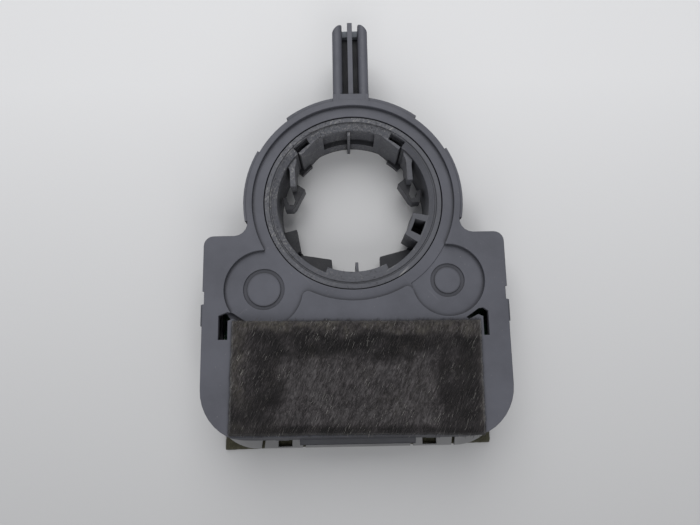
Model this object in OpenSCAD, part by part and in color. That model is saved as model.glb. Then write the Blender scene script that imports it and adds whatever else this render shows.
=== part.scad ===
// Steering angle sensor: a flat moulded case with a ring round the steering column.
// Front face up, anti-rotation finger towards +Y, origin on the rotor axis at the resting plane.

/* [Case] */
// Height of the front face above the resting plane
case_height = 19; // [18.5:0.5:21]
// Half the width of the body below the ring
body_half_width = 46; // [44:0.5:52]
// Distance from the rotor axis down to the bottom edge
body_bottom = 71.8; // [70:0.5:80]
// Distance from the rotor axis down to the shoulders
shoulder_drop = 10.9; // [9:0.5:12]
// Radius of the two upper corners
shoulder_radius = 3; // [1.5:0.5:5]
// Radius of the two lower corners
corner_radius = 15; // [10:0.5:18]
// Room between the rotor's teeth and the ring wall
ring_room = 1.9; // [1.7:0.1:4]
// Radius of the hollow corner between ring and shoulder
neck_fillet = 4; // [2.5:0.5:6]
// Thickness of the side walls
wall = 1.5; // [1.2:0.1:2]
// Thickness of the front wall and of the rear cover
skin = 1.6; // [1.2:0.1:2]
// Height of the rear cover's outer face above the resting plane
cover_lift = 1; // [0.6:0.1:1.4]
// Gap between pieces that are fitted by hand
fit_gap = 0.15; // [0.05:0.05:0.3]

/* [Ring face] */
// Width of the raised border round the sunken ring face
ring_border = 1.9; // [1.6:0.1:2.4]
// Depth of the ring face below the body's face
ring_face_depth = 1.2; // [0.6:0.1:1.4]
// Reach of the rim beyond the ring wall near the finger
rim_reach = 1.1; // [0.5:0.1:2]
// Half the angle of the wider rim near the finger
rim_half_angle = 37; // [30:1:45]
// Reach of the rim beyond the ring wall at the two sides
side_rim_reach = 0.8; // [0.4:0.1:1.6]
// Angle above the shoulders at which each side rim ends
side_rim_angle = 29; // [20:1:35]
// Depth of the rims along the case
rim_depth = 5; // [3:0.5:8]

/* [Anti-rotation finger] */
// Distance from the rotor axis to the finger's tip
finger_tip = 60.8; // [56:0.5:66]
// Width of the finger
finger_w = 11.6; // [10:0.2:14]
// Depth of the finger, front to rear
finger_d = 8; // [6:0.5:9]
// Width of each long slot
slot_w = 1.8; // [1.2:0.1:2.2]
// Width of the rib between the slots
centre_rib_w = 1.6; // [1:0.1:2]
// Thickness of the web under the slots
finger_web = 2; // [1.5:0.1:3]
// Length of the open stretch of the slots at the tip
slot_open_l = 2.4; // [1:0.1:4]
// Radius of the tip's outline
tip_radius = 7.2; // [6.5:0.1:10]
// Length of the solid root between ring and slots
root_l = 2; // [1:0.1:4]

/* [Rotor] */
// Radius that the column hub bears on
bore_radius = 22; // [21:0.1:22.5]
// Inside radius of the rotor tube
tube_radius = 24; // [23.6:0.1:24.4]
// Thickness of the rotor tube
tube_wall = 1.4; // [1:0.1:1.6]
// Least web between the rotor tube and the roots of its teeth
gear_web = 2.5; // [2:0.1:2.9]
// Height of the bearing land at the rotor's rear end
land_h = 2; // [1.5:0.1:3.5]
// Relief of the bearing walls above the land
land_relief = 0.3; // [0.1:0.05:0.4]
// Running gap round the rotor's two flanges
rotor_gap = 0.3; // [0.2:0.05:0.4]
// Angle by which the rotor's inner features stand turned
rotor_turn = 2.4; // [-10:0.2:10]
// Depth of the rotor's front flange below the case face
rotor_sink = 1.5; // [1.2:0.1:2]

/* [Gears] */
// Gear module
gear_module = 0.75; // [0.72:0.01:0.76]
// Teeth on the left measuring gear
left_teeth = 26; // [24:1:27]
// Teeth on the right measuring gear
right_teeth = 24; // [22:1:25]
// Direction of the left measuring gear from the rotor axis
left_angle = 224.8; // [222:0.1:228]
// Direction of the right measuring gear from the rotor axis
right_angle = 317.9; // [314:0.1:320]
// Tooth thinning on each gear, measured along the pitch circle
tooth_play = 0.1; // [0.06:0.01:0.15]
// Width of the teeth along the axis
gear_w = 3.4; // [2.5:0.1:4]
// Height of the teeth's lower face above the resting plane
gear_z = 10; // [9.5:0.1:10.5]
// Radius of a measuring gear's journal
journal_r = 3; // [2:0.1:3.5]
// Running clearance of the journal in its bearing
journal_gap = 0.08; // [0.03:0.01:0.1]
// Radius of a gear magnet
magnet_r = 2.6; // [2:0.1:3]
// Height of a gear magnet
magnet_h = 2; // [1.5:0.1:2]

/* [Gear recesses] */
// Radius of the recess over the left measuring gear
left_recess_r = 12; // [11:0.1:13]
// Radius of the recess over the right measuring gear
right_recess_r = 11.1; // [10.5:0.1:12]
// Depth of the right recess below the ring face
right_recess_drop = 0.2; // [0:0.05:0.4]
// Radius of the rounded corners between ring face and recesses
nose_radius = 1.8; // [1:0.1:2.5]
// Radius of the moulded groove in the left recess
left_disc_r = 6.3; // [5.5:0.1:7]
// Radius of the moulded groove in the right recess
right_disc_r = 5.2; // [5:0.1:6.5]
// Width of these grooves
disc_groove_w = 1.2; // [0.8:0.1:1.5]
// Depth of these grooves
disc_depth = 0.4; // [0.2:0.05:0.5]

/* [Felt pads] */
// Width of the front felt pad
front_felt_w = 74.5; // [70:0.5:78]
// Height of the front felt pad across the case
front_felt_h = 33.2; // [30:0.2:34]
// Distance from the case's bottom edge to the front pad
front_felt_margin = 1.2; // [0.5:0.1:2]
// Thickness of the front felt
front_felt_t = 1.8; // [1.2:0.1:2.2]
// Angle by which the front pad was stuck on askew
front_felt_turn = -0.8; // [-1.5:0.1:1.5]
// Depth of the tray that the front pad sags into
tray_depth = 1.5; // [0.6:0.1:2]
// Width of the felt border round the tray
tray_border = 6.5; // [5:0.5:8]
// Width of the rear felt pad
rear_felt_w = 85; // [80:0.5:88]
// Height of the rear felt pad across the case
rear_felt_h = 38; // [34:0.5:40]
// Thickness of the rear felt
rear_felt_t = 1.4; // [1.2:0.1:1.8]
// Reach of the rear felt past the case's bottom edge
rear_felt_reach = 4.6; // [3:0.1:6]
// Angle by which the rear pad was stuck on askew
rear_felt_turn = 0.5; // [-1:0.1:1]

/* [Electronics] */
// Thickness of the circuit board
board_t = 1.6; // [1:0.1:1.6]
// Height of the board's rear face above the resting plane
board_z = 4.6; // [4.2:0.1:5]
// Number of connector pins
pin_count = 6; // [4:1:6]
// Distance between connector pins
pin_pitch = 2.54; // [2:0.01:2.8]
// Thickness of the pins
pin_t = 0.64; // [0.5:0.02:0.8]
// Width of the connector socket's mouth
socket_w = 22; // [20:0.5:26]
// Height of the connector socket's mouth
socket_h = 8.4; // [8:0.1:8.8]
// Depth of the connector socket
socket_depth = 13; // [12:0.5:15]

/* [Hidden] */
$fn = 96;
// Overlap that lets a cutter pass clean through a face
eps = 0.01;

// Heights of the case's levels
front_z = case_height;
front_in_z = front_z - skin;
cover_in_z = cover_lift + skin;
part_z = cover_in_z;
ring_face_z = front_z - ring_face_depth;
recess_in_z = ring_face_z - skin;

// Rotor and its gear, which has as many teeth as the tube inside it asks for
tooth_top = gear_module;
tooth_foot = 1.25 * gear_module;
rotor_teeth = 2 * ceil((tube_radius + tube_wall + gear_web + tooth_foot) / gear_module);
rotor_pitch_r = gear_module * rotor_teeth / 2;
ring_radius = rotor_pitch_r + tooth_top + ring_room + wall;
ring_face_radius = ring_radius - ring_border;
flange_r = rotor_pitch_r - tooth_foot - 0.55;
opening_r = flange_r + rotor_gap;
rotor_foot_z = 0;
rotor_top_z = front_z - rotor_sink;
flange_t = 2;
rim_groove_r = tube_radius + 2;
rim_groove_d = 0.4;
rim_slope = 1.3;
// Collars on both shells that hold the rotor's toothed disc
collar_wall = 1.2;
collar_gap = 0.3;
foot_wall = 1.8;

pressure_angle = 20;
flank_steps = 3;
// Depth under the pitch circle where the flanks end, and how far the root spreads beyond them
flank_foot = 0.8 * gear_module;
root_spread = 0.12;

// Measuring gears: pitch radius, place and tooth phase
left_pitch_r = gear_module * left_teeth / 2;
right_pitch_r = gear_module * right_teeth / 2;
function polar(r, a) = [r * cos(a), r * sin(a)];
left_pos = polar(rotor_pitch_r + left_pitch_r, left_angle);
right_pos = polar(rotor_pitch_r + right_pitch_r, right_angle);
// A tooth of the follower is centred in the gap that lies half a pitch from the rotor's tooth at angle 0
function mesh_phase(dir, pitch_r) = dir + 180 + (rotor_pitch_r * dir - 90 * gear_module) / pitch_r;

// Measuring gear levels
journal_top_z = recess_in_z - 0.2;
gear_top_z = gear_z + gear_w;
bearing_foot_z = gear_top_z + 0.4;
bearing_r = journal_r + journal_gap;
bearing_wall = 1.8;
magnet_foot_z = gear_z - magnet_h;
hub_r = magnet_r + 1.5;
thrust_gap = 0.2;
thrust_post_r = 0.8;
thrust_post_ring = (hub_r + left_pitch_r - tooth_foot) / 2;

// Front felt seat
felt_y0 = -body_bottom + front_felt_margin;
felt_y1 = felt_y0 + front_felt_h;
felt_tray_z = front_z - tray_depth;
tray_x1 = front_felt_w / 2 - tray_border;
tray_y0 = felt_y0 + tray_border;
tray_y1 = felt_y1 - tray_border;

// Hooked slots beside the felt's upper corners
slot_inner = 1;
left_slot_w = 2.8;
right_slot_w = 1.6;

// Connector socket
socket_wall = 1.4;
socket_z0 = 7;
socket_z1 = socket_z0 + socket_h;
socket_mid_z = (socket_z0 + socket_z1) / 2;
socket_back_y = -body_bottom + socket_depth;
pin_row_y = socket_back_y + socket_wall + 3.6;

// Bottom flange of the rear cover: its drop, the slits through it and the windows for the catches
flange_drop = 4.4;
flange_web = 0.5;
slit_w = 0.9;
slit_lean = 0.7;
lip_x = socket_w / 2 + 6;
slit_x = body_half_width - corner_radius - 1;
// Each catch window keeps its share of the stretch between two slits
slit_gap = slit_x - lip_x;
catch_x = lip_x + slit_gap * 5.8 / 13;
catch_w = slit_gap * 4.4 / 13;
catch_play = 0.2;
catch_reach = 1;
catch_z0 = 9;
catch_z1 = 15;

// Slope along the front shell's bottom edge, and the lip over the socket that carries it on
edge_slope_w = 1.1;
edge_slope_h = 2.6;
slope_foot_z = front_z - edge_slope_h;
lip_reach = 1.7;

// Side snaps
side_notch_y = -27.9;
side_snap_y = -31.8;
side_step_y = -38.3;
side_end_y = -41.3;
side_snap_t = 0.75;
side_notch_d = 0.5;
side_foot_z = 8;
side_top_z = front_z - 1.4;

board_top_z = board_z + board_t;
board_top_y = -shoulder_drop - 5.1;
board_pin_r = 1;
board_post_r = 2;
// Places on the board, from the case's sides, its bottom edge and the socket
function right_x(d) = body_half_width - d;
function up_y(d) = -body_bottom + d;
socket_side = socket_w / 2;
// Eight-lead chips: width, length, leads a side and their pitch
so_w = 3.9;
so_l = 4.9;
so_leads = 4;
so_pitch = 1.27;
// Small two-ended parts: width, length and height
capacitor_size = [1.2, 2, 0.9];
resistor_size = [0.8, 1.6, 0.5];
board_post_points = [for (s = [-1, 1]) each [
    [s * right_x(7), board_top_y - 6], [s * right_x(8), up_y(13.8)], [s * (socket_side + 7), up_y(16.8)]]];

// Colours
case_grey = [0.33, 0.35, 0.38];
rotor_grey = [0.37, 0.38, 0.40];
gear_white = [0.85, 0.84, 0.8];
magnet_grey = [0.2, 0.2, 0.22];
felt_brown = [0.15, 0.13, 0.12];
felt_olive = [0.17, 0.17, 0.1];
chip_black = [0.08, 0.08, 0.09];
board_green = [0.05, 0.3, 0.15];
capacitor_tan = [0.65, 0.5, 0.3];
tin = [0.8, 0.78, 0.7];

// Points along an arc, from angle a0 to a1
function arc(c, r, a0, a1, n) =
    [for (i = [0:n]) c + polar(r, a0 + (a1 - a0) * i / n)];

// Centre and tangent directions of the hollow corner beside the ring
function neck_x() =
    sqrt(pow(ring_radius + neck_fillet, 2) - pow(neck_fillet - shoulder_drop, 2));
function neck_angle() = atan2(neck_fillet - shoulder_drop, neck_x());

// Smallest corner that an inner outline keeps
sharpest = 0.4;

// Points round one corner of the grown outline, with its own radius r at rest
function corner(x, y, r, g, a0, a1, n) = let (
        rg = max(r + g, sharpest),
        sx = sign(x),
        sy = y < -shoulder_drop ? -1 : 1)
    arc([x + sx * (g - rg), y + sy * (g - rg)], rg, a0, a1, n);

// Outline of ring and body, grown outwards by g
function case_outline(g) = let (
        hw = body_half_width, yb = -body_bottom, ys = -shoulder_drop, a = neck_angle())
    concat(
        corner(-hw, yb, corner_radius, g, 270, 180, 10),
        corner(-hw, ys, shoulder_radius, g, 180, 90, 5),
        arc([-neck_x(), ys + neck_fillet], neck_fillet - g, 270, 360 - a, 5),
        arc([0, 0], ring_radius + g, 180 - a, a, 56),
        arc([neck_x(), ys + neck_fillet], neck_fillet - g, 180 + a, 270, 5),
        corner(hw, ys, shoulder_radius, g, 90, 0, 5),
        corner(hw, yb, corner_radius, g, 0, -90, 10)
    );

// Slab of the case outline between two heights
module case_slab(g, z0, z1) {
    translate([0, 0, z0]) linear_extrude(z1 - z0) polygon(case_outline(g));
}

// Box given by its two corners
module block(a, b) {
    translate(a) cube(b - a);
}

// Ring given by two radii and two heights
module tube(r0, r1, z0, z1) {
    translate([0, 0, z0]) difference() {
        cylinder(r = r1, h = z1 - z0);
        translate([0, 0, -1]) cylinder(r = r0, h = z1 - z0 + 2);
    }
}

// Part of a ring, from angle a0 to a1
module sector(r0, r1, z0, z1, a0, a1) {
    rotate([0, 0, a0]) rotate_extrude(angle = a1 - a0)
        translate([r0, z0]) square([r1 - r0, z1 - z0]);
}

// Rounded rectangle slab, centred in X
module round_slab(w, y0, y1, r, z0, z1) {
    translate([0, 0, z0]) linear_extrude(z1 - z0) polygon(concat(
        arc([w / 2 - r, y1 - r], r, 0, 90, 4), arc([-w / 2 + r, y1 - r], r, 90, 180, 4),
        arc([-w / 2 + r, y0 + r], r, 180, 270, 4), arc([w / 2 - r, y0 + r], r, 270, 360, 4)));
}

// Case: front shell

// Section of the finger across its length: two round-backed rails, a centre rib and a web
module finger_section() {
    rail = (finger_w - 2 * slot_w - centre_rib_w) / 2;
    back = rail / 2;
    translate([-finger_w / 2, -finger_d]) square([finger_w, finger_web]);
    translate([-centre_rib_w / 2, -finger_d]) square([centre_rib_w, finger_d - 0.4]);
    for (s = [-1, 1]) translate([s * (finger_w - rail) / 2, 0]) {
        translate([-rail / 2, -finger_d]) square([rail, finger_d - back]);
        translate([0, -back]) circle(r = back, $fn = 32);
    }
}

module finger() {
    base_y = ring_radius - wall;
    under_z = front_z - finger_d;
    difference() {
        intersection() {
            translate([0, base_y, front_z]) rotate([90, 0, 0]) mirror([0, 0, 1])
                linear_extrude(finger_tip - base_y) finger_section();
            translate([0, 0, under_z - 1]) linear_extrude(finger_d + 2) union() {
                translate([0, finger_tip - tip_radius]) circle(r = tip_radius);
                translate([-finger_w, base_y - 1])
                    square([2 * finger_w, finger_tip - tip_radius - base_y + 1]);
            }
        }
        // The slots run out through the tip
        for (s = [-1, 1]) translate([s * (centre_rib_w + slot_w) / 2, finger_tip - slot_open_l / 2 + 1, 0])
            block([-slot_w / 2, -slot_open_l, under_z - 1], [slot_w / 2, slot_open_l, front_z + 1]);
    }
    // Root that carries the finger on the ring
    difference() {
        block([-finger_w / 2, base_y - 0.5, under_z],
              [finger_w / 2, ring_radius + root_l, front_z - 0.1]);
        translate([0, 0, -1]) cylinder(r = ring_radius - wall / 2, h = front_z + 2);
    }
}

// Recess over one measuring gear with its moulded groove
module gear_recess(pos, r, disc, drop) {
    translate([pos[0], pos[1], ring_face_z]) {
        translate([0, 0, -drop]) difference() {
            cylinder(r = r, h = ring_face_depth + drop + 1);
            // The ring face keeps its own level where the recess meets it
            translate([-pos[0], -pos[1], -1]) cylinder(r = ring_face_radius, h = drop + 1);
        }
        tube(disc - disc_groove_w, disc, -disc_depth - drop, eps);
    }
}

// Meeting point of a circle round the origin and one round c, on the side nearer to -Y
function circles_meet(r0, c, r1) = let (
        d = norm(c), u = c / d, a = (r0 * r0 - r1 * r1 + d * d) / (2 * d), h = sqrt(r0 * r0 - a * a),
        p = a * u + h * [u[1], -u[0]], q = a * u - h * [u[1], -u[0]])
    p[1] < q[1] ? p : q;

// Takes the sharp tip off the face between the ring face and a recess
module nose_cut(pos, r) {
    tip = circles_meet(ring_face_radius, pos, r);
    mid = circles_meet(ring_face_radius + nose_radius, pos, r + nose_radius);
    t0 = mid * (ring_face_radius - 0.05) / norm(mid);
    t1 = pos + (mid - pos) * (r - 0.05) / norm(mid - pos);
    translate([0, 0, ring_face_z]) linear_extrude(ring_face_depth + 1) difference() {
        polygon([tip + (tip - mid) * 0.1, t0, mid, t1]);
        translate(mid) circle(r = nose_radius);
    }
}

// Thickened floor under a recess, with the bearing for the gear's journal
module gear_bearing(pos, r) {
    translate([pos[0], pos[1], 0]) {
        translate([0, 0, recess_in_z]) cylinder(r = r + wall, h = front_in_z - recess_in_z + skin / 2);
        tube(bearing_r, bearing_r + bearing_wall, bearing_foot_z, recess_in_z + eps);
    }
}

module front_housing() {
    color(case_grey) difference() {
        union() {
            difference() {
                case_slab(0, part_z + fit_gap, front_z);
                case_slab(-wall, part_z, front_in_z);
            }
            // Floors under the sunken faces stay inside the case outline
            intersection() {
                case_slab(-wall / 2, part_z, front_z);
                union() {
                    gear_bearing(left_pos, left_recess_r);
                    gear_bearing(right_pos, right_recess_r);
                    tube(opening_r - eps, ring_face_radius + wall, recess_in_z, front_in_z + skin / 2);
                }
            }
            // Floor of the felt tray
            block([-tray_x1 - wall, tray_y0 - wall, felt_tray_z - skin],
                  [tray_x1 + wall, tray_y1 + wall, front_in_z + eps]);
            rims();
            finger();
            // Collar that stops the rotor's toothed disc
            tube(opening_r - eps, opening_r + collar_wall, gear_top_z + collar_gap, recess_in_z + eps);
            // Shroud of the connector socket
            block([-socket_w / 2 - socket_wall, -body_bottom, socket_z0 - socket_wall],
                  [socket_w / 2 + socket_wall, socket_back_y + socket_wall, socket_z1 + socket_wall]);
            bottom_lip();
            side_snap_pads();
        }
        // Opening for the rotor and the sunken ring face round it
        translate([0, 0, part_z]) cylinder(r = opening_r, h = front_z);
        translate([0, 0, ring_face_z]) cylinder(r = ring_face_radius, h = ring_face_depth + 1);
        gear_recess(left_pos, left_recess_r, left_disc_r, 0);
        gear_recess(right_pos, right_recess_r, right_disc_r, right_recess_drop);
        nose_cut(left_pos, left_recess_r);
        nose_cut(right_pos, right_recess_r);
        // Tray that the felt sags into
        round_slab(2 * tray_x1, tray_y0, tray_y1, 1.5, felt_tray_z, front_z + 1);
        block([-socket_w / 2, -body_bottom - 6, socket_z0], [socket_w / 2, socket_back_y, socket_z1]);
        pin_holes();
        felt_corner_slots();
        side_notches();
        bottom_slope();
    }
}

// Wider rims at the two sides and near the finger
module rims() {
    sector(ring_radius - wall / 2, ring_radius + rim_reach, front_z - rim_depth, front_z - 0.3,
           90 - rim_half_angle, 90 + rim_half_angle);
    foot = neck_angle();
    for (a = [foot, 180 - side_rim_angle])
        sector(ring_radius - wall / 2, ring_radius + side_rim_reach, front_z - rim_depth, front_z - 0.3,
               a, a + side_rim_angle - foot);
}

// Hooked moulding slots round the felt's upper corners, the left one wider
module felt_corner_slots() {
    x = front_felt_w / 2 + slot_inner;
    y = felt_y1 + slot_inner / 2;
    for (s = [-1, 1]) on_side(s) translate([0, 0, front_in_z - 1]) linear_extrude(skin + 2) {
        out = x + (s < 0 ? left_slot_w : right_slot_w);
        polygon([[x, y - 5.6], [out, y - 5.6], [out, y + 1.6], [x + 0.2, y + 2.6],
                 [x - 1.2, y + 2.4], [x - 5, y - 0.2], [x - 4.2, y - 0.8], [x - 1.4, y + 0.6], [x, y]]);
    }
}

// Mirrored to the left where s is negative
module on_side(s) {
    mirror([s < 0 ? 1 : 0, 0, 0]) children();
}

// Prism along X whose section is given as depth behind the bottom edge and height
module edge_prism(x, half, points) {
    translate([x - half, -body_bottom, 0]) rotate([90, 0, 90]) linear_extrude(2 * half) polygon(points);
}

// Sloping lip over the socket and the two catch noses on the bottom wall
module bottom_lip() {
    edge_prism(0, lip_x, [[1, slope_foot_z], [0, slope_foot_z], [-lip_reach, socket_z1], [1, socket_z1]]);
    for (s = [-1, 1])
        edge_prism(s * catch_x, catch_w / 2 - catch_play,
                   [[eps, catch_z0], [-catch_reach, catch_z0],
                    [-catch_reach, catch_z0 + 1.4], [eps, catch_z1]]);
}

// Slope cut off the bottom edge of the front face
module bottom_slope() {
    edge_prism(0, body_half_width,
               [[edge_slope_w, front_z + eps], [-1, front_z + eps], [-1, slope_foot_z], [0, slope_foot_z]]);
}

// Raised pads on the side walls, a full one and a low one beside it
module side_snap_pads() {
    inner = body_half_width - wall / 2;
    for (s = [-1, 1]) on_side(s) {
        block([inner, side_step_y, side_foot_z], [body_half_width + side_snap_t, side_snap_y, side_top_z]);
        block([inner, side_end_y, side_foot_z],
              [body_half_width + side_snap_t / 2, side_step_y + eps, side_top_z]);
    }
}

// Shallow notches above the pads
module side_notches() {
    for (s = [-1, 1]) on_side(s)
        block([body_half_width - side_notch_d, side_snap_y, side_foot_z],
              [body_half_width + 1, side_notch_y, front_z + 1]);
}

module pin_holes() {
    for (i = [0:pin_count - 1]) translate([pin_x(i), 0, 0])
        block([-pin_t / 2 - 0.1, socket_back_y - 1, socket_mid_z - pin_t / 2 - 0.1],
              [pin_t / 2 + 0.1, socket_back_y + socket_wall + 1, socket_mid_z + pin_t / 2 + 0.1]);
}

function pin_x(i) = (i - (pin_count - 1) / 2) * pin_pitch;

// Case: rear cover

module gear_thrust_posts(pos, phase) {
    for (k = [0:2]) translate(concat(pos + polar(thrust_post_ring, phase + 120 * k), [cover_in_z - eps]))
        cylinder(r = thrust_post_r, h = gear_z - thrust_gap - cover_in_z, $fn = 24);
}

module rear_cover() {
    color(case_grey) difference() {
        union() {
            case_slab(0, cover_lift, cover_in_z);
            // Lap rim that stands inside the front shell
            difference() {
                case_slab(-wall - fit_gap, cover_lift + eps, cover_in_z + 2);
                case_slab(-2 * wall - fit_gap, cover_in_z, cover_in_z + 3);
            }
            // Collar round the rotor, down to the resting plane
            tube(opening_r, opening_r + foot_wall, 0, cover_in_z);
            tube(opening_r, opening_r + collar_wall, cover_in_z - eps, gear_z - collar_gap);
            gear_thrust_posts(left_pos, left_angle);
            gear_thrust_posts(right_pos, right_angle);
            board_posts();
            bottom_flange();
            // Stiffening ribs on the rear face, clear of the felt
            for (s = [-1, 1], x = [right_x(12), right_x(7)]) translate([s * x, 0, 0])
                block([-0.6, board_top_y - 12, 0.2], [0.6, board_top_y + 2, cover_lift + eps]);
        }
        translate([0, 0, -1]) cylinder(r = opening_r, h = case_height);
        // Seat for the rear felt
        rear_felt_shape(-1, rear_felt_t);
    }
}

module board_posts() {
    for (p = board_post_points) translate([p[0], p[1], 0]) {
        translate([0, 0, cover_in_z - eps]) cylinder(r = board_post_r, h = board_z - cover_in_z, $fn = 32);
        translate([0, 0, board_z - 1]) cylinder(r = board_pin_r, h = board_t + 1.6, $fn = 24);
    }
}

// Outline of the flange: the case's lower corners set down by its drop
function flange_outline() = let (y = -body_bottom - flange_drop, inner = up_y(corner_radius - 3)) concat(
    [[-right_x(4), inner]], corner(-body_half_width, y, corner_radius, 0, 198, 270, 12),
    corner(body_half_width, y, corner_radius, 0, -90, -18, 12), [[right_x(4), inner]]);

// Flange along the bottom edge, with leaning slits and the catch windows
module bottom_flange() {
    y = -body_bottom - flange_drop;
    translate([0, 0, cover_lift]) linear_extrude(skin) difference() {
        polygon(flange_outline());
        for (s = [-1, 1]) {
            for (x = [s * lip_x, s * slit_x])
                polygon([[x - slit_w / 2, y - 1], [x + slit_w / 2, y - 1],
                         [x + slit_w / 2 + slit_lean, -body_bottom],
                         [x - slit_w / 2 + slit_lean, -body_bottom]]);
            translate([s * catch_x - catch_w / 2, y + flange_web])
                square([catch_w, flange_drop - flange_web]);
        }
    }
}

module rear_felt_shape(z0, z1) {
    translate([0, -body_bottom - rear_felt_reach + rear_felt_h / 2, 0]) rotate([0, 0, rear_felt_turn])
        block([-rear_felt_w / 2, -rear_felt_h / 2, z0], [rear_felt_w / 2, rear_felt_h / 2, z1]);
}

// Rotor

// One side of a tooth: angle from the tooth's centre at radius r, on the involute of the base circle
function inv_deg(base_r, r) = let (a = acos(min(1, base_r / r))) tan(a) * 180 / PI - a;
function half_tooth(pitch_r, r) = let (b = pitch_r * cos(pressure_angle))
    (90 * gear_module / 2 - tooth_play / 2 * 180 / PI) / pitch_r
    + inv_deg(b, pitch_r) - inv_deg(b, max(r, b));

// Outline of a gear with a tooth centred on angle phase
function gear_outline(teeth, phase) = let (
        pitch_r = gear_module * teeth / 2,
        root = pitch_r - tooth_foot,
        flank = pitch_r - flank_foot,
        tip = pitch_r + tooth_top)
    [for (k = [0:teeth - 1], j = [0:2 * flank_steps + 3]) let (
            up = j <= flank_steps + 1,
            i = up ? j : 2 * flank_steps + 3 - j,
            r = i == 0 ? root : flank + (tip - flank) * (i - 1) / flank_steps,
            h = half_tooth(pitch_r, r) + (i == 0 ? root_spread * 90 * gear_module / pitch_r : 0),
            a = phase + 360 * k / teeth)
        polar(r, a + (up ? -h : h))];

// Spring clip on the right of the bore: an arm that hangs from the tube and the hook at its end
seat_r = tube_radius + 0.3;
clip_z0 = 5;
clip_hook_z = 10;
clip_arm_z = 15.5;
clip_arm = [
    polar(seat_r, 44), [17.2, 15], [17.9, 13], [17.9, 6.5], [19.6, 6.5], [19.6, 11.8], polar(seat_r, 34)
];
clip_hook = [
    [17.9, 9], [15.4, 7.1], [18.7, 1.3], [19.6, 0.4], [22.1, 0.5], [22.9, 4.6],
    [21.6, 4.6], [20.9, 2.2], [19.3, 2], [18.7, 3.3], [19.6, 6.5], [19.6, 9]
];

module clip() {
    translate([0, 0, clip_z0]) {
        linear_extrude(clip_arm_z - clip_z0) polygon(clip_arm);
        linear_extrude(clip_hook_z - clip_z0) polygon(clip_hook);
    }
}

// Tube with its two flanges, the web that carries the gear, and a groove in the rim that slopes to the bore
module rotor_body() {
    outer_r = tube_radius + tube_wall;
    web_r = rotor_pitch_r - tooth_foot - 0.3;
    rotate_extrude() polygon([
        [tube_radius, rotor_foot_z], [flange_r, rotor_foot_z],
        [flange_r, rotor_foot_z + flange_t], [outer_r, rotor_foot_z + flange_t],
        [outer_r, gear_z], [web_r, gear_z], [web_r, gear_top_z], [outer_r, gear_top_z],
        [outer_r, rotor_top_z - flange_t], [flange_r, rotor_top_z - flange_t],
        [flange_r, rotor_top_z], [rim_groove_r + 0.4, rotor_top_z],
        [rim_groove_r + 0.2, rotor_top_z - rim_groove_d], [rim_groove_r - 0.2, rotor_top_z - rim_groove_d],
        [rim_groove_r - 0.4, rotor_top_z - 0.1], [tube_radius, rotor_top_z - rim_slope]
    ]);
    difference() {
        translate([0, 0, gear_z]) linear_extrude(gear_w) polygon(gear_outline(rotor_teeth, 0));
        translate([0, 0, gear_z - 1]) cylinder(r = tube_radius + tube_wall / 2, h = gear_w + 2);
    }
}

// What stands inside the tube: bearing lands at the rear end, facets, tabs and key ribs above them
near_land = [36, 48];
far_land_half = 60;
far_wall_half = 24;
wall_top_z = rotor_top_z - 1.2;
land_top_z = rotor_foot_z + land_h;
above_land_z = land_top_z + 0.2;
key_rib_w = 0.9;
near_rib_reach = 1.9;
far_rib_reach = 5;

// Pocket in the tube towards the finger, behind the near key rib
pocket_half = 20.5;
pocket_depth = 1.7;
pocket_wall = 0.9;
pocket_z0 = 4.8;
pocket_z1 = rotor_top_z - flange_t - 0.4;

// Deep slots between the facets and the clips
facet_a0 = 46.5;
facet_a1 = 66.5;
facet_end_r = 22.8;
slot_a1 = 58;
slot_depth = 1.9;

// Flat-faced block inside the tube, right of the finger, that ends at the deep slot
module facet() {
    translate([0, 0, rotor_foot_z]) linear_extrude(wall_top_z - rotor_foot_z)
        polygon(concat([polar(facet_end_r, facet_a0)], arc([0, 0], seat_r, facet_a0, facet_a1, 6)));
}

module key_rib(mid, reach, z0) {
    rotate([0, 0, mid])
        block([seat_r - reach, -key_rib_w / 2, z0], [seat_r, key_rib_w / 2, wall_top_z - 0.6]);
}

// Low tabs at the rear, given by their inner corners on the right side
low_tab_top = 6;
bottom_tab = [[17, -14.3], [8, -16.2], [7.9, -19.3], for (a = [-67, -60, -52, -44, -38]) polar(seat_r, a)];
side_tab = [[19, -5.4], [18, -12.7], for (a = [-35:5:-15]) polar(seat_r, a)];
// Tall tab on the right with its blind window: inner radii, and the angles at both ends
tall_tab_r = 19.2;
tall_tab = [-36, -14];
window_r = [20.3, 23.7];
window = [-30.5, -19];

module low_tab(points) {
    translate([0, 0, above_land_z]) linear_extrude(low_tab_top - above_land_z) polygon(points);
}

module rotor_inside() {
    for (s = [-1, 1]) on_side(s) {
        clip();
        facet();
        sector(bore_radius, seat_r, rotor_foot_z, land_top_z, 90 - near_land[1], 90 - near_land[0]);
        low_tab(bottom_tab);
    }
    on_side(-1) low_tab(side_tab);
    difference() {
        sector(tall_tab_r, seat_r, above_land_z, wall_top_z, tall_tab[0], tall_tab[1]);
        sector(window_r[0], window_r[1], low_tab_top, wall_top_z + 1, window[0], window[1]);
    }
    sector(bore_radius, seat_r, rotor_foot_z, land_top_z, 270 - far_land_half, 270 + far_land_half);
    sector(bore_radius + land_relief, seat_r, land_top_z - eps, wall_top_z,
           270 - far_wall_half, 270 + far_wall_half);
    key_rib(90, near_rib_reach, rotor_foot_z);
    key_rib(270, far_rib_reach, above_land_z);
}

// Thickening outside the tube that backs the pocket
module pocket_back() {
    sector(tube_radius + tube_wall - eps, tube_radius + pocket_depth + pocket_wall,
           rotor_foot_z + flange_t - eps, rotor_top_z - flange_t + eps,
           90 - pocket_half - 2, 90 + pocket_half + 2);
}

module deep_slots() {
    for (s = [-1, 1]) on_side(s)
        sector(tube_radius - 0.1, tube_radius + slot_depth, above_land_z, rotor_top_z + 1,
               facet_a0 - 0.5, slot_a1);
}

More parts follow.
